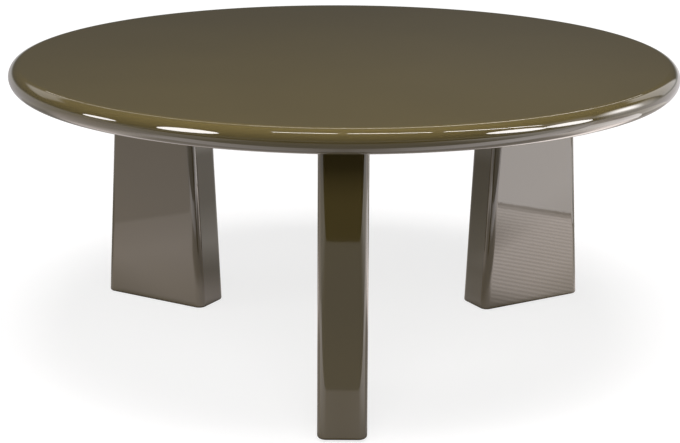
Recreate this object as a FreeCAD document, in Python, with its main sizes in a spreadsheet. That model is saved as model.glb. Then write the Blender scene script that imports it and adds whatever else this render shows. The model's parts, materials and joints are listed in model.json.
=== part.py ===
import FreeCAD, Part
import math
import os
import re
import Sketcher

os.makedirs("parts", exist_ok=True)

# Driving sizes in millimetres
SIZES = {
    # Round top with a half-round rim
    "top_diameter": 1040,
    "top_thickness": 36,
    # Three slab legs that stand radially under the top
    "leg_height": 421,
    "leg_thickness": 70,
    "leg_head_depth": 151,
    "leg_foot_depth": 200,
    "leg_outward_splay": 29,
    "leg_edge_radius": 13,
    "leg_foot_radius": 4,
    "top_overhang": 92,
    # Steel plate let into the underside of the top over each leg
    "plate_thickness": 5,
    "plate_flange": 30,
    "plate_end_inset": 15,
    "plate_corner_radius": 12,
    "plate_recess_clearance": 0.4,
    # Button-head screws from the plate's flanges up into the top
    "plate_screw_diameter": 6,
    "plate_screw_length": 16,
    "plate_screw_head_diameter": 10.5,
    "plate_screw_head_height": 3.3,
    "plate_screw_head_bevel": 1.5,
    "plate_screw_key_width": 4,
    "plate_screw_key_depth": 2,
    "plate_screw_end_distance": 15,
    "plate_insert_diameter": 10,
    "plate_insert_length": 13,
    # Countersunk screws from the plate down into the leg
    "leg_screw_diameter": 8,
    "leg_screw_length": 35,
    "leg_screw_head_diameter": 16,
    "leg_screw_key_width": 5,
    "leg_screw_key_depth": 3,
    "leg_screw_end_distance": 25,
    "leg_insert_diameter": 12,
    "leg_insert_length": 25,
    # Levelling glides, two in the foot of each leg
    "glide_reveal": 3,
    "glide_travel": 8,
    "glide_end_distance": 42,
    "glide_pad_diameter": 34,
    "glide_pad_height": 8,
    "glide_pad_edge": 1,
    "glide_stem_diameter": 8,
    "glide_head_diameter": 16,
    "glide_head_height": 3.5,
    "glide_head_clearance": 1.2,
    "glide_key_width": 5,
    "glide_key_depth": 2,
    "glide_insert_diameter": 12,
    "glide_insert_length": 20,
    # Clearances and room shared by the fasteners
    "thread_clearance": 0.05,
    "insert_clearance": 0.05,
    "screw_hole_clearance": 0.4,
    "screw_bore_clearance": 0.5,
    "screw_end_room": 2,
    "glide_pad_clearance": 1,
    "cut_overrun": 5,
}

# The legs stand evenly round the axis, counter-clockwise from the front one, which is towards -Y
LEG_NAMES = ("front", "right", "left")
FRONT_DEGREES = -90
LEG_DEGREES = {name: FRONT_DEGREES + 360 * i // len(LEG_NAMES) for i, name in enumerate(LEG_NAMES)}

# Levels above the floor
LEG_BASE = "glide_reveal"
UNDERSIDE = "(glide_reveal + leg_height)"
PLATE_FACE = f"({UNDERSIDE} + plate_thickness)"
TOP_FACE = f"({UNDERSIDE} + top_thickness)"
PAD_FACE = "glide_pad_height"
STEM_END = f"({PAD_FACE} + glide_insert_length + glide_travel)"

# Distances from the table's axis
HEAD_OUTER = "(top_diameter / 2 - top_overhang)"
HEAD_INNER = f"({HEAD_OUTER} - leg_head_depth)"
FOOT_OUTER = f"({HEAD_OUTER} + leg_outward_splay)"
FOOT_INNER = f"({FOOT_OUTER} - leg_foot_depth)"
PLATE_CENTRE = f"(({HEAD_OUTER} + {HEAD_INNER}) / 2)"
GLIDE_PLACES = {
    "outer": f"({FOOT_OUTER} - glide_end_distance)",
    "inner": f"({FOOT_INNER} + glide_end_distance)",
}

# Half sizes of the plate, and of the screw patterns about its centre
PLATE_HALF_LENGTH = "(leg_head_depth / 2 - plate_end_inset)"
PLATE_HALF_WIDTH = "(leg_thickness / 2 + plate_flange)"
PLATE_SCREW_X = f"({PLATE_HALF_LENGTH} - plate_screw_end_distance)"
PLATE_SCREW_Y = "(leg_thickness / 2 + plate_flange / 2)"
LEG_SCREW_X = f"({PLATE_HALF_LENGTH} - leg_screw_end_distance)"

# How far the bores go in for the inserts and the screws' ends
PLATE_SCREW_REACH = "max(plate_insert_length; plate_screw_length - plate_thickness)"
LEG_SCREW_REACH = "max(leg_insert_length; leg_screw_length - plate_thickness)"

# Edges count as alike when their radii and levels agree this closely, as a share
MATCH_SHARE = 1e-6

DOC = FreeCAD.newDocument("cocktail_table")
SHEET = DOC.addObject("Spreadsheet::Sheet", "sizes")
PIECES = []


# Sheet and formulas


def fill_sheet():
    """Write each driving size to its own cell, named by an alias."""
    for row, (name, size) in enumerate(SIZES.items(), start=1):
        SHEET.set(f"A{row}", name)
        SHEET.set(f"B{row}", str(size))
        SHEET.setAlias(f"B{row}", name)
    DOC.recompute()


def formula(text):
    """Point the name of each size in a formula at its cell in the sheet."""
    def cell(word):
        return f"sizes.{word[0]}" if word[0] in SIZES else word[0]
    return re.sub(r"[a-z_]+", cell, text)


def value(text):
    """The present value of a formula."""
    return float(SHEET.evalExpression(formula(text)))


def point(x, y):
    return FreeCAD.Vector(value(x), value(y), 0)


def bind(item, path, text):
    """Tie a property to the sheet."""
    item.setExpression(path, formula(text))


# Bodies and sketches


def new_body(label):
    body = DOC.addObject("PartDesign::Body", label)
    body.Label = label
    PIECES.append(body)
    return body


def turn(body, degrees, radius="0"):
    """Stand a body that was drawn along +X at its radius and degrees."""
    upright = FreeCAD.Vector(0, 0, 1)
    body.Placement = FreeCAD.Placement(FreeCAD.Vector(), FreeCAD.Rotation(upright, degrees))
    bind(body, "Placement.Base.x", f"{radius} * cos({degrees} deg)")
    bind(body, "Placement.Base.y", f"{radius} * sin({degrees} deg)")
    DOC.recompute()


def origin_item(body, role):
    return next(item for item in body.Origin.OriginFeatures if item.Role == role)


def new_sketch(body, role, lift="0"):
    """A sketch on one of the body's origin planes, lifted off it along its normal."""
    sketch = body.newObject("Sketcher::SketchObject", f"{body.Name}_sketch")
    sketch.AttachmentSupport = [(origin_item(body, role), "")]
    sketch.MapMode = "FlatFace"
    bind(sketch, "AttachmentOffset.Base.z", lift)
    DOC.recompute()
    return sketch


def join(sketch, kind, *ends):
    return sketch.addConstraint(Sketcher.Constraint(kind, *ends))


def pin(sketch, geometry, end, x, y):
    """Hold one point of a sketch at the place that two formulas give."""
    for kind, text in (("DistanceX", x), ("DistanceY", y)):
        index = join(sketch, kind, -1, 1, geometry, end, value(text))
        bind(sketch, f"Constraints[{index}]", text)


def set_radius(sketch, geometry, text):
    index = join(sketch, "Radius", geometry, value(text))
    bind(sketch, f"Constraints[{index}]", text)


def add_polygon(sketch, corners):
    """A closed outline of straight sides through corners given as pairs of formulas."""
    points = [point(x, y) for x, y in corners]
    ends = points[1:] + points[:1]
    sides = [sketch.addGeometry(Part.LineSegment(a, b)) for a, b in zip(points, ends)]
    for side, following in zip(sides, sides[1:] + sides[:1]):
        join(sketch, "Coincident", side, 2, following, 1)
    for side, (x, y) in zip(sides, corners):
        pin(sketch, side, 1, x, y)


def add_circle(sketch, x, y, radius):
    outline = Part.Circle(point(x, y), FreeCAD.Vector(0, 0, 1), value(radius))
    circle = sketch.addGeometry(outline)
    pin(sketch, circle, 3, x, y)
    set_radius(sketch, circle, radius)


def add_hexagon(sketch, x, y, width):
    """A key's socket, measured across its flats."""
    corners = []
    for degrees in range(0, 360, 60):
        across = f"{x} + {width} / sqrt(3) * cos({degrees} deg)"
        along = f"{y} + {width} / sqrt(3) * sin({degrees} deg)"
        corners.append((across, along))
    add_polygon(sketch, corners)


def add_corner(sketch, x, y, radius, start):
    """A quarter arc, counter-clockwise from its start angle."""
    circle = Part.Circle(point(x, y), FreeCAD.Vector(0, 0, 1), value(radius))
    arc = sketch.addGeometry(Part.ArcOfCircle(circle, start, start + math.pi / 2))
    pin(sketch, arc, 3, x, y)
    set_radius(sketch, arc, radius)
    return arc


def add_rounded_rectangle(sketch, centre_x, half_length, half_width, radius):
    """Four corner arcs joined by tangent sides."""
    arcs = []
    for number, (across, along) in enumerate(((1, 1), (-1, 1), (-1, -1), (1, -1))):
        x = f"{centre_x} + ({half_length} - {radius}) * {across}"
        y = f"({half_width} - {radius}) * {along}"
        arcs.append(add_corner(sketch, x, y, radius, number * math.pi / 2))
    for arc, following in zip(arcs, arcs[1:] + arcs[:1]):
        line = Part.LineSegment(sketch.getPoint(arc, 2), sketch.getPoint(following, 1))
        side = sketch.addGeometry(line)
        join(sketch, "Tangent", arc, 2, side, 1)
        join(sketch, "Tangent", side, 2, following, 1)


# Features


def pad(body, sketch, length, sides="One side"):
    feature = body.newObject("PartDesign::Pad", f"{body.Name}_pad")
    feature.Profile = sketch
    feature.SideType = sides
    bind(feature, "Length", length)
    DOC.recompute()
    return feature


def pocket(body, sketch, depth, upward=False):
    """Cut a sketch down, or up, into the body, and make sure that it takes material away."""
    before = body.Shape.Volume
    feature = body.newObject("PartDesign::Pocket", f"{body.Name}_pocket")
    feature.Profile = sketch
    feature.Reversed = upward
    bind(feature, "Length", depth)
    DOC.recompute()
    if body.Shape.Volume >= before:
        raise RuntimeError(f"{feature.Name} cuts nothing")
    return feature


def revolve(body, corners, axis_x="0", axis_y="0"):
    """Turn an outline of (radius, height) corners round an upright axis."""
    sketch = new_sketch(body, "XZ_Plane", f"-{axis_y}")
    add_polygon(sketch, [(f"{axis_x} + {radius}", height) for radius, height in corners])
    line = Part.LineSegment(point(axis_x, "0"), point(axis_x, TOP_FACE))
    axis = sketch.addGeometry(line, True)
    pin(sketch, axis, 1, axis_x, "0")
    pin(sketch, axis, 2, axis_x, TOP_FACE)
    feature = body.newObject("PartDesign::Revolution", f"{body.Name}_revolution")
    feature.Profile = sketch
    feature.ReferenceAxis = (sketch, ["Axis0"])
    DOC.recompute()
    return feature


def is_circle(edge, radius, level):
    """Whether an edge is a level circle of this radius at this height."""
    if not isinstance(edge.Curve, Part.Circle):
        return False
    same_radius = math.isclose(edge.Curve.Radius, radius, rel_tol=MATCH_SHARE)
    return same_radius and math.isclose(edge.Curve.Center.z, level, rel_tol=MATCH_SHARE)


def dress(body, kind, base, wanted, size_name, size):
    """Fillet or chamfer the edges of a feature that pass a test."""
    edges = enumerate(base.Shape.Edges, start=1)
    names = [f"Edge{number}" for number, edge in edges if wanted(edge)]
    feature = body.newObject(f"PartDesign::{kind}", f"{body.Name}_{kind.lower()}")
    feature.Base = (base, names)
    bind(feature, size_name, size)
    DOC.recompute()
    return feature


def repeat_in_rows(body, spacing_x, spacing_y):
    """Repeat the whole body at the corners of a rectangle that runs back along X and Y."""
    pattern = body.newObject("PartDesign::LinearPattern", f"{body.Name}_rows")
    pattern.TransformMode = "Whole shape"
    pattern.Direction = (origin_item(body, "X_Axis"), [""])
    pattern.Reversed = True
    pattern.Occurrences = 2
    bind(pattern, "Length", spacing_x)
    if spacing_y:
        pattern.Direction2 = (origin_item(body, "Y_Axis"), [""])
        pattern.Reversed2 = True
        pattern.Occurrences2 = 2
        bind(pattern, "Length2", spacing_y)
    body.Tip = pattern
    DOC.recompute()


def repeat_round(body, features=None):
    """Repeat the given cuts, or the whole body, at the three legs."""
    pattern = body.newObject("PartDesign::PolarPattern", f"{body.Name}_round")
    if features:
        pattern.Originals = features
    else:
        pattern.TransformMode = "Whole shape"
    pattern.Axis = (origin_item(body, "Z_Axis"), [""])
    pattern.Angle = 360
    pattern.Occurrences = len(LEG_NAMES)
    body.Tip = pattern
    turn(body, FRONT_DEGREES)


# Top


def add_rim_outline(sketch):
    """Half of the top's section: two flat faces joined by a half-round rim."""
    rim_x = "(top_diameter / 2 - top_thickness / 2)"
    rim_tip = point("top_diameter / 2", f"{UNDERSIDE} + top_thickness / 2")
    axis_low, rim_low = ("0", UNDERSIDE), (rim_x, UNDERSIDE)
    axis_high, rim_high = ("0", TOP_FACE), (rim_x, TOP_FACE)
    under = sketch.addGeometry(Part.LineSegment(point(*axis_low), point(*rim_low)))
    rim = sketch.addGeometry(Part.Arc(point(*rim_low), rim_tip, point(*rim_high)))
    over = sketch.addGeometry(Part.LineSegment(point(*rim_high), point(*axis_high)))
    core = sketch.addGeometry(Part.LineSegment(point(*axis_high), point(*axis_low)))
    join(sketch, "Tangent", under, 2, rim, 1)
    join(sketch, "Coincident", rim, 2, over, 1)
    join(sketch, "Coincident", over, 2, core, 1)
    join(sketch, "Coincident", core, 2, under, 1)
    pin(sketch, under, 1, *axis_low)
    pin(sketch, under, 2, *rim_low)
    pin(sketch, over, 1, *rim_high)
    pin(sketch, over, 2, *axis_high)


def add_plate_screw_circles(sketch, centre_x, radius):
    for across in (1, -1):
        for along in (1, -1):
            x = f"{centre_x} + {PLATE_SCREW_X} * {across}"
            add_circle(sketch, x, f"{PLATE_SCREW_Y} * {along}", radius)


def make_top():
    """A turned disc with a recess for each plate and bores for the inserts above it."""
    body = new_body("table_top")
    section = new_sketch(body, "XZ_Plane")
    add_rim_outline(section)
    disc = body.newObject("PartDesign::Revolution", "table_top_disc")
    disc.Profile = section
    disc.ReferenceAxis = (section, ["V_Axis"])
    DOC.recompute()

    recess = new_sketch(body, "XY_Plane", UNDERSIDE)
    half_length = f"({PLATE_HALF_LENGTH} + plate_recess_clearance)"
    half_width = f"({PLATE_HALF_WIDTH} + plate_recess_clearance)"
    corner = "(plate_corner_radius + plate_recess_clearance)"
    add_rounded_rectangle(recess, PLATE_CENTRE, half_length, half_width, corner)
    cuts = [pocket(body, recess, "plate_thickness", upward=True)]

    bores = (
        ("plate_insert_diameter / 2 + insert_clearance", "plate_insert_length"),
        ("plate_screw_diameter / 2 + screw_bore_clearance", f"{PLATE_SCREW_REACH} + screw_end_room"),
    )
    for radius, depth in bores:
        holes = new_sketch(body, "XY_Plane", PLATE_FACE)
        add_plate_screw_circles(holes, PLATE_CENTRE, radius)
        cuts.append(pocket(body, holes, depth, upward=True))
    repeat_round(body, cuts)


# Legs


def round_edges(body, slab):
    """Large rounds down the four long edges, then a small one all round the foot."""
    half_height = value("leg_height / 2")
    foot_top = value(f"{LEG_BASE} + leg_foot_radius")
    rounded = dress(
        body, "Fillet", slab,
        lambda edge: edge.BoundBox.ZLength > half_height,
        "Radius", "leg_edge_radius",
    )
    dress(
        body, "Fillet", rounded,
        lambda edge: edge.BoundBox.ZMax < foot_top,
        "Radius", "leg_foot_radius",
    )


def bore_head(body):
    """Bores for the two inserts in the leg's head and the ends of their screws."""
    bores = (
        ("leg_insert_diameter / 2 + insert_clearance", "leg_insert_length"),
        ("leg_screw_diameter / 2 + screw_bore_clearance", f"{LEG_SCREW_REACH} + screw_end_room"),
    )
    for radius, depth in bores:
        holes = new_sketch(body, "XY_Plane", UNDERSIDE)
        for side in (1, -1):
            add_circle(holes, f"{PLATE_CENTRE} + {LEG_SCREW_X} * {side}", "0", radius)
        pocket(body, holes, depth)


def bore_foot(body):
    """The glides' pad recess, insert bore and stem room, from the foot upwards."""
    pad_radius = "glide_pad_diameter / 2 + glide_pad_clearance"
    insert_radius = "glide_insert_diameter / 2 + insert_clearance"
    stem_radius = "glide_stem_diameter / 2 + screw_bore_clearance"
    bores = (
        (LEG_BASE, pad_radius, f"{PAD_FACE} - {LEG_BASE}"),
        (PAD_FACE, insert_radius, "glide_insert_length"),
        (PAD_FACE, stem_radius, f"{STEM_END} - {PAD_FACE} + screw_end_room"),
    )
    for level, radius, depth in bores:
        holes = new_sketch(body, "XY_Plane", level)
        for place in GLIDE_PLACES.values():
            add_circle(holes, place, "0", radius)
        pocket(body, holes, depth, upward=True)


def make_leg(name, degrees):
    """A slab that is deeper at the foot than at the head."""
    body = new_body(f"leg_{name}")
    side_view = new_sketch(body, "XZ_Plane")
    add_polygon(side_view, [
        (FOOT_INNER, LEG_BASE),
        (FOOT_OUTER, LEG_BASE),
        (HEAD_OUTER, UNDERSIDE),
        (HEAD_INNER, UNDERSIDE),
    ])
    slab = pad(body, side_view, "leg_thickness", sides="Symmetric")
    round_edges(body, slab)
    bore_head(body)
    bore_foot(body)
    turn(body, degrees)


# Plates, screws and inserts


def make_plate(name, degrees):
    """A flat plate with countersunk holes over the leg and plain ones in its flanges."""
    body = new_body(f"leg_plate_{name}")
    outline = new_sketch(body, "XY_Plane", UNDERSIDE)
    add_rounded_rectangle(outline, "0", PLATE_HALF_LENGTH, PLATE_HALF_WIDTH, "plate_corner_radius")
    pad(body, outline, "plate_thickness")

    hole_radius = "(leg_screw_diameter / 2 + screw_hole_clearance)"
    leg_holes = new_sketch(body, "XY_Plane", UNDERSIDE)
    for side in (1, -1):
        add_circle(leg_holes, f"{LEG_SCREW_X} * {side}", "0", hole_radius)
    drilled = pocket(body, leg_holes, "plate_thickness + cut_overrun", upward=True)
    dress(
        body, "Chamfer", drilled,
        lambda edge: is_circle(edge, value(hole_radius), value(PLATE_FACE)),
        "Size", "(leg_screw_head_diameter - leg_screw_diameter) / 2",
    )

    flange_holes = new_sketch(body, "XY_Plane", UNDERSIDE)
    add_plate_screw_circles(flange_holes, "0", "plate_screw_diameter / 2 + screw_hole_clearance")
    pocket(body, flange_holes, "plate_thickness + cut_overrun", upward=True)
    turn(body, degrees, PLATE_CENTRE)


def make_plate_screws():
    """Four button-head screws per plate, with their heads under its flanges."""
    body = new_body("plate_screws")
    x, y = f"({PLATE_CENTRE} + {PLATE_SCREW_X})", PLATE_SCREW_Y
    head_radius, shank_radius = "plate_screw_head_diameter / 2", "plate_screw_diameter / 2"
    head_face = f"({UNDERSIDE} - plate_screw_head_height)"
    shank_end = f"({UNDERSIDE} + plate_screw_length)"
    screw = revolve(body, [
        ("0", head_face),
        (head_radius, head_face),
        (head_radius, UNDERSIDE),
        (shank_radius, UNDERSIDE),
        (shank_radius, shank_end),
        ("0", shank_end),
    ], x, y)
    dress(
        body, "Chamfer", screw,
        lambda edge: is_circle(edge, value(head_radius), value(head_face)),
        "Size", "plate_screw_head_bevel",
    )
    socket = new_sketch(body, "XY_Plane", head_face)
    add_hexagon(socket, x, y, "plate_screw_key_width")
    pocket(body, socket, "plate_screw_key_depth", upward=True)
    repeat_in_rows(body, f"2 * {PLATE_SCREW_X}", f"2 * {PLATE_SCREW_Y}")
    repeat_round(body)


def make_leg_screws():
    """Two countersunk screws per leg, each sunk to one thread clearance from its seat."""
    body = new_body("leg_screws")
    x = f"({PLATE_CENTRE} + {LEG_SCREW_X})"
    head_radius, shank_radius = "leg_screw_head_diameter / 2", "leg_screw_diameter / 2"
    head_face = f"({PLATE_FACE} - screw_hole_clearance + thread_clearance)"
    cone_end = f"({head_face} - {head_radius} + {shank_radius})"
    shank_end = f"({head_face} - leg_screw_length)"
    revolve(body, [
        ("0", shank_end),
        (shank_radius, shank_end),
        (shank_radius, cone_end),
        (head_radius, head_face),
        ("0", head_face),
    ], x)
    socket = new_sketch(body, "XY_Plane", head_face)
    add_hexagon(socket, x, "0", "leg_screw_key_width")
    pocket(body, socket, "leg_screw_key_depth")
    repeat_in_rows(body, f"2 * {LEG_SCREW_X}", None)
    repeat_round(body)


def make_inserts(label, sizes_of, screw, low, place, spacing):
    """Threaded sleeves that stand flush in their bores."""
    body = new_body(label)
    outer = f"{sizes_of}_diameter / 2"
    inner = f"{screw}_diameter / 2 + thread_clearance"
    high = f"({low} + {sizes_of}_length)"
    revolve(body, [(inner, low), (outer, low), (outer, high), (inner, high)], *place)
    repeat_in_rows(body, *spacing)
    repeat_round(body)


def make_all_inserts():
    make_inserts(
        "plate_inserts", "plate_insert", "plate_screw", PLATE_FACE,
        (f"({PLATE_CENTRE} + {PLATE_SCREW_X})", PLATE_SCREW_Y),
        (f"2 * {PLATE_SCREW_X}", f"2 * {PLATE_SCREW_Y}"),
    )
    make_inserts(
        "leg_inserts", "leg_insert", "leg_screw", f"({UNDERSIDE} - leg_insert_length)",
        (f"({PLATE_CENTRE} + {LEG_SCREW_X})",),
        (f"2 * {LEG_SCREW_X}", None),
    )
    make_inserts(
        "glide_inserts", "glide_insert", "glide_stem", PAD_FACE,
        (GLIDE_PLACES["outer"],),
        (f"{GLIDE_PLACES['outer']} - {GLIDE_PLACES['inner']}", None),
    )


# Levelling glides


def make_stem(name, degrees, place):
    """A flat-headed stem that screws into the foot, long enough for its whole travel."""
    body = new_body(f"glide_stem_{name}")
    head_radius, stem_radius = "glide_head_diameter / 2", "glide_stem_diameter / 2"
    head_top = "(glide_head_clearance + glide_head_height)"
    revolve(body, [
        ("0", "glide_head_clearance"),
        (head_radius, "glide_head_clearance"),
        (head_radius, head_top),
        (stem_radius, head_top),
        (stem_radius, STEM_END),
        ("0", STEM_END),
    ])
    socket = new_sketch(body, "XY_Plane", "glide_head_clearance")
    add_hexagon(socket, "0", "0", "glide_key_width")
    pocket(body, socket, "glide_key_depth", upward=True)
    turn(body, degrees, place)


def make_pad(name, degrees, place):
    """A nylon foot with a recess underneath for the stem's head."""
    body = new_body(f"glide_pad_{name}")
    rim, hole = "glide_pad_diameter / 2", "glide_stem_diameter / 2 + thread_clearance"
    recess = "glide_head_diameter / 2 + screw_hole_clearance"
    recess_top = "(glide_head_clearance + glide_head_height)"
    revolve(body, [
        (recess, "0"),
        (f"{rim} - glide_pad_edge", "0"),
        (rim, "glide_pad_edge"),
        (rim, PAD_FACE),
        (hole, PAD_FACE),
        (hole, recess_top),
        (recess, recess_top),
    ])
    turn(body, degrees, place)


# Checks and files


def check_document():
    for item in DOC.Objects:
        if "Invalid" in item.State or "Error" in item.State:
            raise RuntimeError(f"{item.Label} failed: {item.State}")
    for piece in PIECES:
        if piece.Shape.isNull() or not piece.Shape.isValid() or not piece.Shape.Solids:
            raise RuntimeError(f"{piece.Label} has no valid shape")


def write_pieces():
    for piece in PIECES:
        piece.Shape.exportStep(f"parts/{piece.Label}.step")
        print(f"{piece.Label}: {len(piece.Shape.Solids)} solids, {piece.Shape.Volume:.0f} mm3")


fill_sheet()
make_top()
for leg_name, leg_degrees in LEG_DEGREES.items():
    make_leg(leg_name, leg_degrees)
    make_plate(leg_name, leg_degrees)
    for end_name, glide_place in GLIDE_PLACES.items():
        make_stem(f"{leg_name}_{end_name}", leg_degrees, glide_place)
        make_pad(f"{leg_name}_{end_name}", leg_degrees, glide_place)
make_plate_screws()
make_leg_screws()
make_all_inserts()
DOC.recompute()
check_document()
write_pieces()
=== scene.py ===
import json
import math

import bpy
from mathutils import Matrix, Vector
from mathutils.geometry import tessellate_polygon


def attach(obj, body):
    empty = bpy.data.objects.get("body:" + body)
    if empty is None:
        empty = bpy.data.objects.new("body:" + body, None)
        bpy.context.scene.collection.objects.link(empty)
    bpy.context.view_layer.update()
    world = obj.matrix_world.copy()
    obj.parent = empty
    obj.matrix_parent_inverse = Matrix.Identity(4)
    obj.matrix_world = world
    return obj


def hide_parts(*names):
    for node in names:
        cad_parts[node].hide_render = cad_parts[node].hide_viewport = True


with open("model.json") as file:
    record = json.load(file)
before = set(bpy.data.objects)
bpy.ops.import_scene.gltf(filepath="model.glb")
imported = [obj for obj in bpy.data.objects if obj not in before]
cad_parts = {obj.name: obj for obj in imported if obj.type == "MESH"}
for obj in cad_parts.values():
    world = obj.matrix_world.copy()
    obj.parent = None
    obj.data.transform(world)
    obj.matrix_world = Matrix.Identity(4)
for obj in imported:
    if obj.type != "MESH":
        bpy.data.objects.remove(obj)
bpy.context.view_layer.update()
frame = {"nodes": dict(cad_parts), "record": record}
NODES = frame["nodes"]

# Sizes of the part in metres, the same as in its CAD source, which has no threads or domed heads.
# The top has a half-round rim, and the legs stand radially under it.
TOP_RADIUS, TOP_THICKNESS = 0.520, 0.036
UNDERSIDE = 0.424
TOP_FACE = UNDERSIDE + TOP_THICKNESS
RIM_RADIUS = TOP_THICKNESS / 2
RIM_CENTRE, RIM_LEVEL = TOP_RADIUS - RIM_RADIUS, UNDERSIDE + RIM_RADIUS
LEG_DEGREES = {"front": -90, "right": 30, "left": 150}
LEG_BASE = 0.003
LEG_THICKNESS = 0.070
HEAD_OUTER, HEAD_INNER = 0.428, 0.277
FOOT_OUTER, FOOT_INNER = 0.457, 0.257
LEG_EDGE_RADIUS, LEG_FOOT_RADIUS = 0.013, 0.004

# Plate over each leg, and where its screws stand from its centre
PLATE_THICKNESS, PLATE_FLANGE, PLATE_END_INSET, PLATE_CORNER = 0.005, 0.030, 0.015, 0.012
PLATE_CENTRE = (HEAD_OUTER + HEAD_INNER) / 2
PLATE_FACE = UNDERSIDE + PLATE_THICKNESS
PLATE_HALF_LENGTH = (HEAD_OUTER - HEAD_INNER) / 2 - PLATE_END_INSET
PLATE_HALF_WIDTH = LEG_THICKNESS / 2 + PLATE_FLANGE
RECESS_CLEARANCE = 0.0004
PLATE_SCREW_END, LEG_SCREW_END = 0.015, 0.025
PLATE_SCREW_X = PLATE_HALF_LENGTH - PLATE_SCREW_END
PLATE_SCREW_Y = LEG_THICKNESS / 2 + PLATE_FLANGE / 2
LEG_SCREW_X = PLATE_HALF_LENGTH - LEG_SCREW_END

# Plate screws, M6 with a button head
SCREW_HEAD_RADIUS, SCREW_HEAD_HEIGHT = 0.00525, 0.0033
SCREW_HEAD_FACE, SCREW_HEAD_EDGE = 0.0029, 0.0004
SCREW_KEY, SCREW_KEY_DEPTH = 0.004, 0.002
SCREW_RADIUS, SCREW_CORE, SCREW_LENGTH, SCREW_PITCH = 0.003, 0.00247, 0.016, 0.001

# Glide stems, M8 with a flat head, and the pads that they carry
GLIDE_RADII = {"outer": 0.415, "inner": 0.299}
PAD_FACE = 0.008
STEM_HEAD_LOW, STEM_HEAD_HIGH = 0.0012, 0.0047
STEM_HEAD_RADIUS, STEM_HEAD_BEVEL = 0.008, 0.0004
STEM_KEY, STEM_KEY_DEPTH = 0.005, 0.002
STEM_RADIUS, STEM_CORE, STEM_END, STEM_PITCH = 0.004, 0.00333, 0.036, 0.00125

# Radius and depth of the bores
PLATE_INSERT_BORE, PLATE_SCREW_BORE = (0.00505, 0.013), (0.0035, 0.015)
LEG_INSERT_BORE, LEG_SCREW_BORE = (0.00605, 0.025), (0.0045, 0.032)
PAD_BORE_RADIUS = 0.018
GLIDE_INSERT_BORE, STEM_BORE = (0.00605, 0.020), (0.0045, 0.030)

# A thread's foot and tip to either side of its middle, as shares of the pitch, and how steeply
# the normals of its flanks of 60 degrees rise
THREAD_FOOT, THREAD_TIP = 0.44, 0.07
THREAD_FLANK = math.sqrt(3)

# How finely the curves are divided, and the rings of the top's flat face as shares of its radius
TOP_SEGMENTS = 288
RIM_SEGMENTS = 48
FLAT_RINGS = (0.8, 0.6, 0.4, 0.2)
CORNER_SEGMENTS = 20
FOOT_SEGMENTS = 8
BORE_SEGMENTS = 48
DOME_SEGMENTS = 10
THREAD_SEGMENTS = 24
KEY_SIDES = 6
SMOOTH_ANGLE = math.radians(40)


# Mesh building


def circle(segments):
    """The angles of evenly spaced points round a circle."""
    return [2 * math.pi * i / segments for i in range(segments)]


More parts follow.
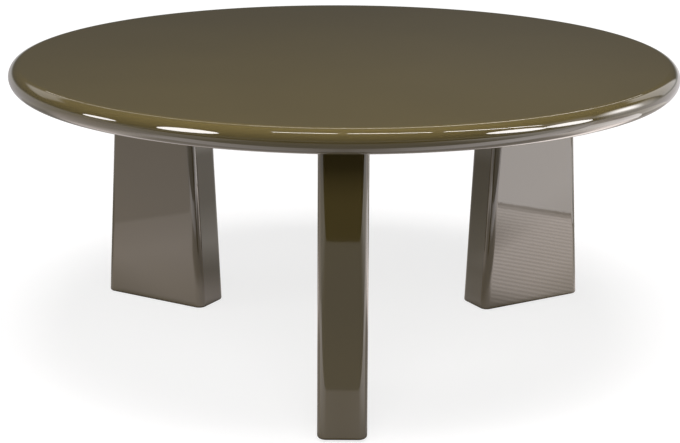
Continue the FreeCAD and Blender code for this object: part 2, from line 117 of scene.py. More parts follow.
class Shell:
    """Points and faces of one piece, with a normal at each corner so that gloss reads clean."""

    def __init__(self):
        self.points, self.faces, self.normals = [], [], []

    def add_points(self, points):
        start = len(self.points)
        self.points += [tuple(p) for p in points]
        return list(range(start, len(self.points)))

    def add_ring(self, angles, radius, level, x=0.0, y=0.0):
        return self.add_points(
            (x + radius * math.cos(a), y + radius * math.sin(a), level) for a in angles
        )

    def add_face(self, corners, normals):
        self.faces.append(list(corners))
        self.normals += [Vector(n).normalized() for n in normals]

    def add_strip(self, ring, following, normals, following_normals):
        """Quads between two closed rings of as many points, facing out where they run upwards."""
        count = len(ring)
        for i in range(count):
            j = (i + 1) % count
            self.add_face(
                (ring[i], ring[j], following[j], following[i]),
                (normals[i], normals[j], following_normals[j], following_normals[i]),
            )

    def add_fill(self, loops, facing):
        """A level face inside the first loop and outside the others, looking up or down."""
        indices = [i for loop in loops for i in loop]
        polylines = [[Vector(self.points[i]) for i in loop] for loop in loops]
        for triangle in tessellate_polygon(polylines):
            a, b, c = (indices[i] for i in triangle)
            pa, pb, pc = (Vector(self.points[i]) for i in (a, b, c))
            if (pb - pa).cross(pc - pa).z * facing < 0:
                b, c = c, b
            self.add_face((a, b, c), [(0, 0, facing)] * 3)

    def add_bore(self, x, y, steps, direction):
        """A stepped blind hole from its mouth inwards, and the loop of its mouth.

        The steps are (radius, level the step ends at), after the mouth's own level.
        """
        angles = circle(BORE_SEGMENTS)
        inward = [(-math.cos(a), -math.sin(a), 0) for a in angles]
        (last_radius, level), *rest = steps
        mouth = last = self.add_ring(angles, last_radius, level, x, y)
        for radius, end in rest:
            if radius != last_radius:
                shoulder = self.add_ring(angles, radius, level, x, y)
                self.add_fill((last, shoulder), -direction)
                last, last_radius = shoulder, radius
            bottom = self.add_ring(angles, radius, end, x, y)
            pair = (bottom, last) if direction > 0 else (last, bottom)
            self.add_strip(*pair, inward, inward)
            last, level = bottom, end
        self.add_fill((last,), -direction)
        return mouth

    def add_turning(self, profile):
        """A surface turned about the Z axis, and its first and last rings.

        Each corner of the profile of (radius, level) stays sharp unless it bends by little.
        """
        angles = circle(BORE_SEGMENTS)
        rings = [self.add_ring(angles, radius, level) for radius, level in profile]
        slopes = []
        for (radius, level), (next_radius, next_level) in zip(profile, profile[1:]):
            slopes.append(Vector((next_level - level, radius - next_radius)).normalized())

        def spread(slope):
            return [(slope.x * math.cos(a), slope.x * math.sin(a), slope.y) for a in angles]

        for i, slope in enumerate(slopes):
            ends = []
            for other in (i - 1, i + 1):
                soft = 0 <= other < len(slopes) and slope.angle(slopes[other]) < SMOOTH_ANGLE
                ends.append(spread(slope + slopes[other] if soft else slope))
            self.add_strip(rings[i], rings[i + 1], *ends)
        return rings[0], rings[-1]

    def add_socket(self, width, level, depth):
        """A hexagonal key socket that opens downwards, and the loop of its mouth."""
        corners = circle(KEY_SIDES)
        radius = width / math.sqrt(3)
        mouth, bottom = (self.add_ring(corners, radius, z) for z in (level, level + depth))
        for i, corner in enumerate(corners):
            j = (i + 1) % len(corners)
            middle = corner + math.pi / len(corners)
            inward = (-math.cos(middle), -math.sin(middle), 0)
            self.add_face((bottom[i], bottom[j], mouth[j], mouth[i]), [inward] * 4)
        self.add_fill((bottom,), -1)
        return mouth

    def add_thread(self, core, crest, low, high, pitch):
        """A right-hand ridge round a core, which runs out at both ends."""
        steps = round((high - low) / pitch * THREAD_SEGMENTS)
        foot, tip = THREAD_FOOT * pitch, THREAD_TIP * pitch
        lines = [[], [], [], []]
        around = []
        for step in range(steps + 1):
            angle = 2 * math.pi * step / THREAD_SEGMENTS
            outward = Vector((math.cos(angle), math.sin(angle), 0))
            rise = min(1.0, step / THREAD_SEGMENTS, (steps - step) / THREAD_SEGMENTS)
            level = low + pitch * step / THREAD_SEGMENTS
            peak = core + (crest - core) * rise
            section = ((core, -foot), (peak, -tip), (peak, tip), (core, foot))
            for line, (radius, side) in zip(lines, section):
                line += self.add_points([outward * radius + Vector((0, 0, level + side))])
            around.append(outward)
        for lower, upper, tilt in zip(lines, lines[1:], (-1, 0, 1)):
            up = Vector((0, 0, tilt * THREAD_FLANK))
            for i in range(steps):
                a, b = around[i] + up, around[i + 1] + up
                self.add_face((lower[i], lower[i + 1], upper[i + 1], upper[i]), (a, b, b, a))

    def join(self, other):
        start = len(self.points)
        self.points += other.points
        self.faces += [[start + i for i in face] for face in other.faces]
        self.normals += other.normals

    def turned(self, degrees, radius=0.0, across=0.0):
        """The same shell stood at a radius and turned about the table's axis."""
        place = Matrix.Rotation(math.radians(degrees), 4, "Z")
        place = place @ Matrix.Translation((radius, across, 0))
        turned = Shell()
        turned.points = [tuple(place @ Vector(p)) for p in self.points]
        turned.faces = self.faces
        turned.normals = [place.to_3x3() @ n for n in self.normals]
        return turned

    def mesh(self, name):
        mesh = bpy.data.meshes.new(name)
        mesh.from_pydata(self.points, [], self.faces)
        mesh.validate()
        mesh.polygons.foreach_set("use_smooth", [True] * len(mesh.polygons))
        mesh.normals_split_custom_set([tuple(n) for n in self.normals])
        mesh.update()
        return mesh


# Corners of a rectangle counter-clockwise, as the signs of their places along and across it
CORNERS = ((1, 1), (-1, 1), (-1, -1), (1, -1))


# Top


def rounded_rectangle(half_length, half_width, radius):
    """Points counter-clockwise round a rectangle with rounded corners, and their normals."""
    points, normals = [], []
    for quarter, (along, across) in enumerate(CORNERS):
        for step in range(CORNER_SEGMENTS + 1):
            angle = (quarter + step / CORNER_SEGMENTS) * math.pi / 2
            normal = (math.cos(angle), math.sin(angle), 0)
            points.append((
                (half_length - radius) * along + radius * normal[0],
                (half_width - radius) * across + radius * normal[1],
            ))
            normals.append(normal)
    return points, normals


def add_plate_recess(shell, degrees):
    """The recess for one plate with its four bores, and the loop of its mouth."""
    turn = Matrix.Rotation(math.radians(degrees), 4, "Z")
    outline, outline_normals = rounded_rectangle(
        PLATE_HALF_LENGTH + RECESS_CLEARANCE,
        PLATE_HALF_WIDTH + RECESS_CLEARANCE,
        PLATE_CORNER + RECESS_CLEARANCE,
    )
    places = [turn @ Vector((PLATE_CENTRE + x, y, 0)) for x, y in outline]
    walls = [-(turn @ Vector(n)) for n in outline_normals]
    mouth = shell.add_points((p.x, p.y, UNDERSIDE) for p in places)
    ceiling = shell.add_points((p.x, p.y, PLATE_FACE) for p in places)
    shell.add_strip(ceiling, mouth, walls, walls)
    (insert_radius, insert_depth), (screw_radius, screw_depth) = PLATE_INSERT_BORE, PLATE_SCREW_BORE
    steps = (
        (insert_radius, PLATE_FACE),
        (insert_radius, PLATE_FACE + insert_depth),
        (screw_radius, PLATE_FACE + screw_depth),
    )
    bores = []
    for along in (1, -1):
        for across in (1, -1):
            x, y = PLATE_CENTRE + along * PLATE_SCREW_X, across * PLATE_SCREW_Y
            place = turn @ Vector((x, y, 0))
            bores.append(shell.add_bore(place.x, place.y, steps, 1))
    shell.add_fill((ceiling, *bores), -1)
    return mouth


def make_top_shell():
    """A turned disc with a half-round rim, and a recess for each plate with its bores."""
    shell = Shell()
    angles = circle(TOP_SEGMENTS)
    rings, ring_normals = [], []
    for step in range(RIM_SEGMENTS + 1):
        tilt = math.pi * (step / RIM_SEGMENTS - 0.5)
        outward, upward = math.cos(tilt), math.sin(tilt)
        radius, level = RIM_CENTRE + RIM_RADIUS * outward, RIM_LEVEL + RIM_RADIUS * upward
        rings.append(shell.add_ring(angles, radius, level))
        ring_normals.append([
            (math.cos(a) * outward, math.sin(a) * outward, upward) for a in angles
        ])
    for i in range(RIM_SEGMENTS):
        shell.add_strip(rings[i], rings[i + 1], ring_normals[i], ring_normals[i + 1])

    up = [(0, 0, 1)] * TOP_SEGMENTS
    last = rings[-1]
    for share in FLAT_RINGS:
        inner = shell.add_ring(angles, RIM_CENTRE * share, TOP_FACE)
        shell.add_strip(last, inner, up, up)
        last = inner
    shell.add_fill((last,), 1)
    mouths = [add_plate_recess(shell, degrees) for degrees in LEG_DEGREES.values()]
    shell.add_fill((rings[0], *mouths), -1)
    return shell


# Legs


def leg_ring(level):
    """The leg's outline at one height: points counter-clockwise, and their normals."""
    height = UNDERSIDE - LEG_BASE
    ends = {
        1: (HEAD_OUTER, (FOOT_OUTER - HEAD_OUTER) / height),
        -1: (HEAD_INNER, (FOOT_INNER - HEAD_INNER) / height),
    }
    points, normals = [], []
    for quarter, (along, across) in enumerate(CORNERS):
        head, slope = ends[along]
        face = Vector((1, 0, slope)).normalized() * along
        side = Vector((0, across, 0))
        for step in range(CORNER_SEGMENTS + 1):
            share = step / CORNER_SEGMENTS * math.pi / 2
            if quarter % 2:
                share = math.pi / 2 - share
            normal = face * math.cos(share) + side * math.sin(share)
            core_level = level - LEG_EDGE_RADIUS * normal.z
            core = head + slope * (UNDERSIDE - core_level) - LEG_EDGE_RADIUS / face.x
            points.append(Vector((
                core + LEG_EDGE_RADIUS * normal.x,
                (LEG_THICKNESS / 2 - LEG_EDGE_RADIUS) * across + LEG_EDGE_RADIUS * normal.y,
                level,
            )))
            normals.append(normal)
    return points, normals


def make_leg_shell():
    """A slab deeper at the foot, with rounded long edges, a small round at the foot, and bores."""
    shell = Shell()
    rings, ring_normals = [], []
    for step in range(FOOT_SEGMENTS + 1):
        tilt = math.pi / 2 * (1 - step / FOOT_SEGMENTS)
        level = LEG_BASE + LEG_FOOT_RADIUS * (1 - math.sin(tilt))
        inset = LEG_FOOT_RADIUS * (1 - math.cos(tilt))
        points, normals = leg_ring(level)
        flat = [Vector((n.x, n.y, 0)).normalized() for n in normals]
        rings.append(shell.add_points(p - f * inset for p, f in zip(points, flat)))
        ring_normals.append([n * math.cos(tilt) - Vector((0, 0, math.sin(tilt))) for n in normals])
    points, normals = leg_ring(UNDERSIDE)
    rings.append(shell.add_points(points))
    ring_normals.append(normals)
    for i in range(len(rings) - 1):
        shell.add_strip(rings[i], rings[i + 1], ring_normals[i], ring_normals[i + 1])

    (insert_radius, insert_depth), (screw_radius, screw_depth) = LEG_INSERT_BORE, LEG_SCREW_BORE
    steps = (
        (insert_radius, UNDERSIDE),
        (insert_radius, UNDERSIDE - insert_depth),
        (screw_radius, UNDERSIDE - screw_depth),
    )
    heads = [shell.add_bore(PLATE_CENTRE + side * LEG_SCREW_X, 0, steps, -1) for side in (1, -1)]
    shell.add_fill((rings[-1], *heads), 1)
    (insert_radius, insert_depth), (stem_radius, stem_depth) = GLIDE_INSERT_BORE, STEM_BORE
    steps = (
        (PAD_BORE_RADIUS, LEG_BASE),
        (PAD_BORE_RADIUS, PAD_FACE),
        (insert_radius, PAD_FACE + insert_depth),
        (stem_radius, PAD_FACE + stem_depth),
    )
    feet = [shell.add_bore(radius, 0, steps, 1) for radius in GLIDE_RADII.values()]
    shell.add_fill((rings[0], *feet), -1)
    return shell


# Screws and stems


def make_plate_screw_shell():
    """A button-head screw with a domed head, a key socket and a thread, on the Z axis."""
    shell = Shell()
    face, rim = UNDERSIDE - SCREW_HEAD_HEIGHT, UNDERSIDE - SCREW_HEAD_EDGE
    end = UNDERSIDE + SCREW_LENGTH
    profile = []
    for step in range(DOME_SEGMENTS + 1):
        angle = math.pi / 2 * (1 - step / DOME_SEGMENTS)
        profile.append((
            SCREW_HEAD_FACE + (SCREW_HEAD_RADIUS - SCREW_HEAD_FACE) * math.cos(angle),
            rim - (rim - face) * math.sin(angle),
        ))
    profile += [
        (SCREW_HEAD_RADIUS, UNDERSIDE), (SCREW_CORE, UNDERSIDE),
        (SCREW_CORE, end - SCREW_PITCH), (SCREW_CORE - SCREW_PITCH / 2, end),
    ]
    low, high = shell.add_turning(profile)
    shell.add_fill((high,), 1)
    shell.add_fill((low, shell.add_socket(SCREW_KEY, face, SCREW_KEY_DEPTH)), -1)
    thread_low, thread_high = UNDERSIDE + SCREW_PITCH, end - SCREW_PITCH
    shell.add_thread(SCREW_CORE, SCREW_RADIUS, thread_low, thread_high, SCREW_PITCH)
    return shell


def make_stem_shell():
    """A glide's stem with a bevelled flat head, a key socket and a thread, on the Z axis."""
    shell = Shell()
    edge = STEM_HEAD_RADIUS - STEM_HEAD_BEVEL
    low, high = shell.add_turning((
        (edge, STEM_HEAD_LOW),
        (STEM_HEAD_RADIUS, STEM_HEAD_LOW + STEM_HEAD_BEVEL),
        (STEM_HEAD_RADIUS, STEM_HEAD_HIGH - STEM_HEAD_BEVEL),
        (edge, STEM_HEAD_HIGH),
        (STEM_CORE, STEM_HEAD_HIGH),
        (STEM_CORE, STEM_END - STEM_PITCH),
        (STEM_CORE - STEM_PITCH / 2, STEM_END),
    ))
    shell.add_fill((high,), 1)
    shell.add_fill((low, shell.add_socket(STEM_KEY, STEM_HEAD_LOW, STEM_KEY_DEPTH)), -1)
    thread_low, thread_high = STEM_HEAD_HIGH + STEM_PITCH, STEM_END - STEM_PITCH
    shell.add_thread(STEM_CORE, STEM_RADIUS, thread_low, thread_high, STEM_PITCH)
    return shell


# Materials. A noise runs between two shades or levels at these places on its scale.
NOISE_LOW, NOISE_HIGH = 0.3, 0.7
LACQUER = (0.089, 0.0685, 0.0235)
PLATE_STEEL, SCREW_STEEL = (0.42, 0.43, 0.44), (0.5, 0.5, 0.5)
BRASS = (0.62, 0.45, 0.2)
NYLON = (0.03, 0.028, 0.025)


def tint(colour, share):
    return tuple(min(1.0, c * share) for c in colour)


class Nodes:
    """Short calls for the nodes of one material, lamp or world."""

    def __init__(self, owner):
        owner.use_nodes = True
        self.tree = owner.node_tree

    def add(self, kind, **settings):
        node = self.tree.nodes.new(f"ShaderNode{kind}")
        for setting, value in settings.items():
            setattr(node, setting, value)
        return node

    def link(self, source, node, socket):
        self.tree.links.new(source, node.inputs[socket])

    def number(self, operation, *sources):
        """The outcome of a sum with outputs of other nodes and plain numbers."""
        node = self.add("Math", operation=operation)
        for socket, source in enumerate(sources):
            if isinstance(source, float):
                node.inputs[socket].default_value = source
            else:
                self.link(source, node, socket)
        return node.outputs[0]

    def span(self, source, low, high, to_low=0.0, to_high=1.0, kind="LINEAR"):
        """A value carried over from one range to another, and held at both ends."""
        node = self.add("MapRange", interpolation_type=kind)
        ends = {"From Min": low, "From Max": high, "To Min": to_low, "To Max": to_high}
        for socket, value in ends.items():
            node.inputs[socket].default_value = value
        self.link(source, node, "Value")
        return node.outputs["Result"]


class Shader(Nodes):
    """The nodes of one material."""

    def __init__(self, name, **sockets):
        self.material = bpy.data.materials.new(name)
        super().__init__(self.material)
        self.surface = self.tree.nodes["Principled BSDF"]
        for socket, value in sockets.items():
            self.surface.inputs[socket.replace("_", " ")].default_value = value
        self.place = self.add("TexCoord").outputs["Object"]

    def set(self, source, socket):
        self.link(source, self.surface, socket)

    def noise(self, scale, detail=3.0, stretch=(1, 1, 1)):
        mapping = self.add("Mapping")
        mapping.inputs["Scale"].default_value = stretch
        self.link(self.place, mapping, "Vector")
        noise = self.add("TexNoise")
        noise.inputs["Scale"].default_value = scale
        noise.inputs["Detail"].default_value = detail
        self.link(mapping.outputs["Vector"], noise, "Vector")
        return noise.outputs["Fac"]

    def ramp(self, source, *stops):
        """Colours or grey levels between places on a 0 to 1 scale."""
        ramp = self.add("ValToRGB")
        elements = ramp.color_ramp.elements
        while len(elements) < len(stops):
            elements.new(1.0)
        for element, (place, colour) in zip(elements, stops):
            element.position = place
            element.color = (*colour, 1) if isinstance(colour, tuple) else (colour,) * 3 + (1,)
        self.link(source, ramp, "Fac")
        return ramp.outputs["Color"]

    def vary(self, socket, noise, low, high):
        """Let a noise run one of the surface's sockets between two shades or levels."""
        self.set(self.ramp(noise, (NOISE_LOW, low), (NOISE_HIGH, high)), socket)

    def bump(self, source, *sockets, strength, distance):
        bump = self.add("Bump")
        bump.inputs["Strength"].default_value = strength
        bump.inputs["Distance"].default_value = distance
        self.link(source, bump, "Height")
        for socket in sockets:
            self.set(bump.outputs["Normal"], socket)


def make_lacquer():
    """Lacquer with faint clouds of colour, uneven polish and a trace of orange peel."""
    shader = Shader(
        "high_gloss_lacquer", IOR=1.65, Coat_Weight=1.0, Coat_Roughness=0.01, Coat_IOR=1.65
    )
    clouds, polish = shader.noise(scale=7.0), shader.noise(scale=40.0)
    shader.vary("Base Color", clouds, low=tint(LACQUER, 0.97), high=tint(LACQUER, 1.03))
    shader.vary("Roughness", polish, low=0.025, high=0.05)
    peel = shader.noise(scale=120.0, detail=1.0)
    shader.bump(peel, "Normal", "Coat Normal", strength=0.02, distance=0.0005)
    return shader.material


def make_metal(name, colour, scale, stretch):
    """Metal with a grain that is drawn out along the way it was brushed or turned."""
    shader = Shader(name, Metallic=1.0)
    grain = shader.noise(scale, detail=4.0, stretch=stretch)
    shader.vary("Base Color", grain, low=tint(colour, 0.85), high=tint(colour, 1.12))
    shader.vary("Roughness", grain, low=0.28, high=0.45)
    shader.bump(grain, "Normal", strength=0.15, distance=0.0002)
    return shader.material


def make_nylon():
    """Moulded nylon with a fine matt grain."""
    shader = Shader("glide_nylon_moulded")
    clouds, polish = shader.noise(scale=60.0), shader.noise(scale=300.0)
    shader.vary("Base Color", clouds, low=tint(NYLON, 0.8), high=tint(NYLON, 1.3))
    shader.vary("Roughness", polish, low=0.5, high=0.65)
    grain = shader.noise(scale=900.0, detail=2.0)
    shader.bump(grain, "Normal", strength=0.2, distance=0.0003)
    return shader.material


MATERIALS = {
    "lacquer": make_lacquer(),
    "plate_steel": make_metal("plate_steel_brushed", PLATE_STEEL, scale=90.0, stretch=(1, 12, 1)),
    "screw_steel": make_metal("screw_steel_plated", SCREW_STEEL, scale=400.0, stretch=(1, 1, 4)),
    "insert_brass": make_metal("insert_brass_turned", BRASS, scale=400.0, stretch=(1, 1, 6)),
    "glide_nylon": make_nylon(),
}


# Pieces


def add_object(name, data):
    item = bpy.data.objects.new(name, data)
    bpy.context.scene.collection.objects.link(item)
    return item


def paint(piece, slot):
    piece.data.materials.clear()
    piece.data.materials.append(MATERIALS[slot])


def add_piece(name, shell, body, slot, *replaced):
    piece = add_object(name, shell.mesh(name))
    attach(piece, body)
    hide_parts(*replaced)
    paint(piece, slot)


for subpart in frame["record"]["subparts"]:
    paint(NODES[subpart["node"]], subpart["material_slot"])

add_piece("top_lacquered", make_top_shell(), "table", "lacquer", "table_top")
leg_shell = make_leg_shell()
for leg, degrees in LEG_DEGREES.items():
    add_piece(f"leg_{leg}_lacquered", leg_shell.turned(degrees), "table", "lacquer", f"leg_{leg}")

stem_shell = make_stem_shell()
screw_shell, all_screws = make_plate_screw_shell(), Shell()
for leg, degrees in LEG_DEGREES.items():
    for end, radius in GLIDE_RADII.items():
        stem = f"glide_stem_{leg}_{end}"
        turned_stem = stem_shell.turned(degrees, radius)
        add_piece(f"{stem}_threaded", turned_stem, f"glide_{leg}_{end}", "screw_steel", stem)
    for along in (1, -1):
        for across in (1, -1):
            radius = PLATE_CENTRE + along * PLATE_SCREW_X
            all_screws.join(screw_shell.turned(degrees, radius, across * PLATE_SCREW_Y))
add_piece("plate_screws_threaded", all_screws, "table", "screw_steel", "plate_screws")


# Stage

WHITE = (1, 1, 1, 1)


def aimed(place, aim):
    return (Vector(aim) - Vector(place)).to_track_quat("-Z", "Y").to_matrix()


# Camera, fitted to the outline of the table in the photograph
CAMERA_PLACE = Vector((0, -2.6555, 0.9552))
CAMERA_PITCH, CAMERA_YAW, CAMERA_ROLL = 0.2812, 0.0020, 0.0050
CAMERA_SENSOR, CAMERA_LENS = 36.0, 90.623
camera_data = bpy.data.cameras.new("camera")
camera_data.sensor_width, camera_data.lens = CAMERA_SENSOR, CAMERA_LENS
camera = add_object("camera", camera_data)
camera.location = CAMERA_PLACE
camera.rotation_euler = (
    Matrix.Rotation(CAMERA_YAW, 3, "Z")
    @ Matrix.Rotation(math.pi / 2 - CAMERA_PITCH, 3, "X")
    @ Matrix.Rotation(CAMERA_ROLL, 3, "Z")
).to_euler()
bpy.context.scene.camera = camera
bpy.context.scene.view_settings.view_transform = "Standard"

# Floor, white to the camera, and to everything else a painted glow of bright patches and shade, as
# bright as the legs and rim show it to be.
# Stops are (place in metres, level). Near the table it glows a little less, so that a shadow shows.
FLOOR_HALF = 30.0
FLOOR_SPAN = 3.0
PAINTED_FLOOR_PEAK = 3.0
FLOOR_GREY = (0.3, 0.3, 0.3, 1)
FLOOR_NEAR, FLOOR_FAR = (1.2, 0.80), (2.6, 1.0)
# Painted light: each band from front to back has its tint, its stops in depth and its stops from
# left to right, with bright patches and the table's painted shadow in its levels
PAINTED_FLOOR_LIGHT_BANDS = (
    (
        (1.0, 0.97, 0.97),
        ((-2.251, 0.0), (-2.25, 1.0), (-0.755, 1.0), (-0.754, 0.0)),
        ((-1.1, 0.5), (-0.6, 0.26), (0.6, 0.26), (1.1, 0.6), (1.4, 0.9)),
    ),
    (
        (1.0, 0.94, 0.95),
        ((-0.755, 0.0), (-0.754, 1.0), (-0.5, 1.0), (-0.4, 0.0)),
        (
            (-3.0, 0.45), (-0.82, 0.68), (-0.80, 0.88), (-0.62, 1.2), (-0.3, 0.9), (-0.12, 0.7),
            (0.0, 0.46), (0.12, 0.7), (0.2, 0.95), (0.5, 1.3), (0.6, 1.6), (0.86, 1.6), (3.0, 1.2),
        ),
    ),
    (
        (1.0, 0.91, 0.87),
        ((-0.5, 0.0), (-0.4, 1.0), (-0.12, 1.0), (-0.02, 0.0)),
        (
            (-3.0, 0.50), (-0.82, 0.72), (-0.80, 0.90), (-0.62, 1.0), (-0.5, 0.5), (0.0, 0.38),
            (0.45, 0.42), (0.6, 0.55), (0.7, 1.3), (0.78, 1.9), (0.86, 2.25), (0.87, 1.2),
            (1.5, 1.2), (3.0, 0.9),
        ),
    ),
    (
        (1.0, 0.90, 0.86),
        ((-0.12, 0.0), (-0.02, 1.0), (0.1, 0.95), (0.3, 0.0)),
        (
            (-3.0, 0.50), (-0.82, 0.72), (-0.80, 0.90), (-0.6, 1.05), (-0.12, 0.7), (0.0, 0.36),
            (0.14, 0.36), (0.29, 0.7), (0.38, 1.75), (0.5, 2.0), (0.86, 2.3), (0.87, 1.0),
            (1.5, 0.85), (3.0, 0.8),
        ),
    ),
    (
        (1.0, 0.94, 0.88),
        ((0.1, 0.0), (0.3, 1.0), (0.9, 1.0), (0.901, 0.0)),
        (
            (-1.3, 0.45), (-0.95, 0.22), (-0.57, 0.24), (-0.22, 0.32), (0.0, 0.38), (0.2, 0.68),
            (0.38, 0.56), (0.55, 0.45), (0.85, 0.46), (1.05, 0.46), (1.2, 0.95), (2.2, 1.0),
        ),
    ),
    ((1.0, 0.95, 0.95), ((0.9, 0.0), (0.901, 1.0)), ((-1.0, 0.45), (1.0, 0.7))),
)
# Ribs in the floor's painted glow, which the right leg mirrors as a painted reflection, as a wave
# about its middle level
RIB_SCALE, RIB_DISTORTION, RIB_DETAIL, RIB_MIDDLE = 15.0, 1.5, 0.5, 0.5
RIB_ACROSS = ((0.2, 0.0), (0.3, 0.27), (0.86, 0.27), (1.0, 0.0))
RIB_DEPTH = ((-0.4, 0.0), (-0.2, 1.0), (0.2, 1.0), (0.3, 0.0))
# Painted contact shade darkens the floor's glow where it meets a leg, and the glow lights the
# colour with a share of what the gloss sees
PAINTED_CONTACT_SHADE_DISTANCE, PAINTED_CONTACT_SHADE_POWER = 0.035, 2.5
SPILL_SHARE = 0.55


def make_floor_material():
    shader = Shader("floor_pale_painted_glow", Base_Color=FLOOR_GREY, Roughness=1.0, Specular_IOR_Level=0.0)
    shader.surface.inputs["Emission Color"].default_value = WHITE
    position = shader.add("NewGeometry").outputs["Position"]
    place = shader.add("SeparateXYZ")
    shader.link(position, place, 0)
    x, y = place.outputs["X"], place.outputs["Y"]
    distance = shader.add("VectorMath", operation="LENGTH")
    shader.link(position, distance, 0)

    def profile(source, stops, peak=1.0, colour=(1.0, 1.0, 1.0)):
        share = shader.span(source, -FLOOR_SPAN, FLOOR_SPAN)
        places = [(at + FLOOR_SPAN) / (2 * FLOOR_SPAN) for at, level in stops]
        levels = [tint(colour, level / peak) for at, level in stops]
        return shader.ramp(share, *zip(places, levels))

    def combine(operation, source, socket, other):
        node = shader.add("VectorMath", operation=operation)
        shader.link(source, node, 0)
        shader.link(other, node, socket)
        return node.outputs["Vector"]

    # Painted light: the bands of glow by place on the floor
    painted_floor_light = None
    for band_tint, depth, across in PAINTED_FLOOR_LIGHT_BANDS:
        light = profile(x, across, PAINTED_FLOOR_PEAK, band_tint)
        band = combine("SCALE", light, "Scale", profile(y, depth))
        painted_floor_light = combine("ADD", painted_floor_light, 1, band) if painted_floor_light else band

    wave = shader.add("TexWave")
    wave.inputs["Scale"].default_value = RIB_SCALE
    wave.inputs["Distortion"].default_value = RIB_DISTORTION
    wave.inputs["Detail Scale"].default_value = RIB_DETAIL
    shader.link(position, wave, "Vector")
    rib_patch = shader.number("MULTIPLY", profile(x, RIB_ACROSS), profile(y, RIB_DEPTH))
    rib = shader.number("SUBTRACT", wave.outputs["Fac"], RIB_MIDDLE)
    rib = shader.number("ADD", shader.number("MULTIPLY", rib, rib_patch), 1.0)
    # Painted shade: the glow darkens near the legs
    painted_contact_shade = shader.add("AmbientOcclusion")
    painted_contact_shade.inputs["Distance"].default_value = PAINTED_CONTACT_SHADE_DISTANCE
    share = shader.number("POWER", painted_contact_shade.outputs["AO"], PAINTED_CONTACT_SHADE_POWER)
    share = shader.number("MULTIPLY", rib, share)
    paths = shader.add("LightPath")
    diffuse = paths.outputs["Is Diffuse Ray"]
    spill = shader.number("MULTIPLY_ADD", diffuse, SPILL_SHARE - 1.0, 1.0)
    painted_floor_light = combine("SCALE", painted_floor_light, "Scale", shader.number("MULTIPLY", share, spill))

    # The painted glow, which everything but the camera sees and is lit by
    painted_glow = shader.add("Emission")
    painted_glow.inputs["Strength"].default_value = PAINTED_FLOOR_PEAK
    shader.link(painted_floor_light, painted_glow, "Color")
    shader.set(profile(distance.outputs["Value"], (FLOOR_NEAR, FLOOR_FAR)), "Emission Strength")
    mix = shader.add("MixShader")
    shader.link(paths.outputs["Is Camera Ray"], mix, "Fac")
    shader.link(painted_glow.outputs[0], mix, 1)
    shader.link(shader.surface.outputs[0], mix, 2)
    shader.link(mix.outputs[0], shader.tree.nodes["Material Output"], "Surface")
    return shader.material


floor_corners = [(x * FLOOR_HALF, y * FLOOR_HALF, 0) for x, y in CORNERS]
floor_mesh = bpy.data.meshes.new("floor")
floor_mesh.from_pydata(floor_corners, [], [(0, 1, 2, 3)])
floor = add_object("floor", floor_mesh)
floor_mesh.materials.append(make_floor_material())

# World: white behind the table, and to everything else a dim room with a pale band at the horizon
BACKDROP, ROOM, HORIZON, HORIZON_HEIGHT = 1.0, 0.062, 0.45, 0.10


def make_world():
    world = bpy.data.worlds.new("studio")
    nodes = Nodes(world)
    direction = nodes.add("SeparateXYZ")
    nodes.link(nodes.add("TexCoord").outputs["Generated"], direction, 0)
    room = nodes.span(direction.outputs["Z"], 0.0, HORIZON_HEIGHT, HORIZON, ROOM)
    mix = nodes.add("Mix")
    mix.inputs["B"].default_value = BACKDROP
    nodes.link(nodes.add("LightPath").outputs["Is Camera Ray"], mix, "Factor")
    nodes.link(room, mix, "A")
    background = nodes.tree.nodes["Background"]
    background.inputs["Color"].default_value = WHITE
    nodes.link(mix.outputs["Result"], background, "Strength")
    return world


bpy.context.scene.world = make_world()


# Lamps

STUDIO_TINT = (1.0, 0.97, 0.97)
FRONT_RIM = (0, -0.45, 0.45)
FACE_MIDDLE = 0.5


def fade_edges(lamp_data, share):
    """Let a lamp's brightness fall off over this share of its half width and half height."""
    nodes = Nodes(lamp_data)
    face = nodes.add("SeparateXYZ")
    nodes.link(nodes.add("NewGeometry").outputs["Parametric"], face, 0)
    start = FACE_MIDDLE * (1 - share)
    fades = []
    for axis in "XY":
        offset = nodes.number("SUBTRACT", face.outputs[axis], FACE_MIDDLE)
        offset = nodes.number("ABSOLUTE", offset)
        fades.append(nodes.span(offset, start, FACE_MIDDLE, 1.0, 0.0, "SMOOTHSTEP"))
    nodes.link(nodes.number("MULTIPLY", *fades), nodes.tree.nodes["Emission"], "Strength")


def add_softbox(
    name, place, turn, width, height, radiance, mirrored=True, shape="RECTANGLE", fade=0.0
):
    """A flat lamp whose face has this brightness, where 1 is white.

    Lamps that the gloss mirrors don't light the colour, and the gloss doesn't mirror those that do.
    """
    data = bpy.data.lights.new(name, "AREA")
    data.shape = shape
    data.size, data.size_y = width, height
    area = width * height * (math.pi / 4 if shape == "ELLIPSE" else 1)
    data.energy = radiance * math.pi * area
    data.color = STUDIO_TINT
    if fade:
        fade_edges(data, fade)
    lamp = add_object(name, data)
    lamp.location = place
    lamp.rotation_euler = turn.to_euler()
    lamp.visible_camera = False
    lamp.visible_glossy = mirrored
    lamp.visible_diffuse = not mirrored


def rim_mirrored(sweep, tilt, distance):
    """A point of the rim by its degrees from the front and from upright, and what it mirrors."""
    sweep, tilt = math.radians(sweep), math.radians(tilt)
    outward = Vector((math.sin(sweep), -math.cos(sweep), 0))
    normal = outward * math.sin(tilt) + Vector((0, 0, math.cos(tilt)))
    point = outward * RIM_CENTRE + Vector((0, 0, RIM_LEVEL)) + normal * RIM_RADIUS
    return point, point + (point - CAMERA_PLACE).normalized().reflect(normal) * distance


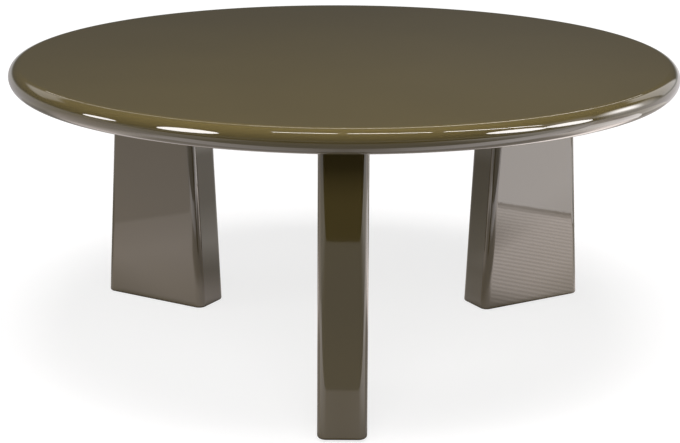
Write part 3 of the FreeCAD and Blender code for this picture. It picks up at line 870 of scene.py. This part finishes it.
def add_rim_strip(name, start, end, span, distance, radiance, shape="RECTANGLE", fade=0.0):
    """A lamp that the rim mirrors from one sweep and tilt to another, over a span of tilts."""
    start_point, first = rim_mirrored(*start, distance)
    end_point, last = rim_mirrored(*end, distance)
    sweep, tilt = (start[0] + end[0]) / 2, (start[1] + end[1]) / 2
    low, high = (rim_mirrored(sweep, tilt + side * span / 2, distance)[1] for side in (1, -1))
    place, aim, along = (first + last) / 2, (start_point + end_point) / 2, last - first
    side = along.normalized()
    back = (place - aim - side * side.dot(place - aim)).normalized()
    turn = Matrix((side, back.cross(side), back)).transposed()
    width, height = along.length, (high - low).length
    add_softbox(name, place, turn, width, height, radiance, shape=shape, fade=fade)


# Windows that the rim mirrors, so close to it that the flat top doesn't mirror them in other views.
# Each has its start and end as (sweep, tilt), its span, its brightness and the share that fades.
WINDOW_DISTANCE = 0.015
WINDOWS = {
    "window_left": ((-43.2, 72.0), (-35.9, 71.5), 7.4, 6.2, 0.0),
    "window_left_front": ((-28.4, 71.4), (-18.2, 68.6), 13.6, 7.6, 0.0),
    "window_right_front": ((20.9, 69.9), (31.0, 73.6), 10.9, 7.6, 0.0),
    "window_right": ((30.7, 71.8), (40.4, 72.8), 11.0, 6.8, 0.0),
    "window_right_back": ((40.4, 63.4), (55.0, 67.2), 19.0, 4.4, 0.9),
}
for name, (start, end, span, radiance, fade) in WINDOWS.items():
    add_rim_strip(name, start, end, span, WINDOW_DISTANCE, radiance, "ELLIPSE", fade)

# A thin arch behind the table, from left to right, which the rim mirrors just past the flat face
ARCH_TILT, ARCH_SPAN, ARCH_HALF_SWEEP, ARCH_DISTANCE = 17.5, 0.95, 56.0, 3.0
ARCH_RADIANCES = (2.1, 2.4, 2.5, 4.6, 5.4, 6.4, 5.0, 2.3)
for i, radiance in enumerate(ARCH_RADIANCES):
    start, end = (
        (ARCH_HALF_SWEEP * (2 * (i + step) / len(ARCH_RADIANCES) - 1), ARCH_TILT) for step in (0, 1)
    )
    add_rim_strip(f"arch_{i}", start, end, ARCH_SPAN, ARCH_DISTANCE, radiance)

# Ceiling tubes in one line from left to right, by their two ends
TUBE_DEPTH, TUBE_HEIGHT, TUBE_WIDTH, TUBE_RADIANCE = -1.12, 2.4, 0.07, 17.0
TUBES = ((-0.67, -0.05), (0.03, 0.84), (0.98, 3.0))
for tube, (start, end) in enumerate(TUBES):
    place = Vector(((start + end) / 2, TUBE_DEPTH, TUBE_HEIGHT))
    downwards = aimed(place, place - Vector((0, 0, 1)))
    add_softbox(f"ceiling_tube_{tube}", place, downwards, end - start, TUBE_WIDTH, TUBE_RADIANCE)

# Each of the other lamps has its place, its aim, its width and height, its brightness and the share
# that fades. The gloss mirrors pale walls and a bright patch of floor beside the right leg.
GLOSS_LAMPS = {
    "haze_right": ((3.6, -0.75, 2.1), FRONT_RIM, 2.4, 1.8, 0.5, 0.7),
    "haze_right_back": ((3.66, 0.88, 1.18), FRONT_RIM, 3.0, 1.9, 0.9, 0.7),
    "wall_right_back": ((2.2, 2.0, 1.38), FRONT_RIM, 1.25, 1.8, 0.65, 0.3),
    "wall_left_back": ((-2.16, 1.77, 1.77), FRONT_RIM, 1.9, 0.9, 0.45, 0.5),
    "haze_back_right": ((0.98, 6.0, 1.62), FRONT_RIM, 3.0, 1.0, 0.012, 1.0),
    "floor_right": ((1.243, -0.065, 0.002), (1.243, -0.065, 1), 0.714, 0.67, 1.15, 0.0),
}
# Large soft lamps light the colour
COLOUR_LAMPS = {
    "overhead": ((0.08, -0.45, 2.3), (0.08, -0.45, 0), 1.6, 1.2, 13.2, 0.0),
    "front": ((0, -3.0, 2.35), FRONT_RIM, 2.4, 1.3, 5.2, 0.0),
    "left": ((-3.2, -0.9, 1.0), (-0.3, 0.15, 0.2), 2.0, 1.0, 4.0, 0.0),
}
for lamps, mirrored in ((GLOSS_LAMPS, True), (COLOUR_LAMPS, False)):
    for name, (place, aim, width, height, radiance, fade) in lamps.items():
        add_softbox(name, place, aimed(place, aim), width, height, radiance, mirrored, fade=fade)
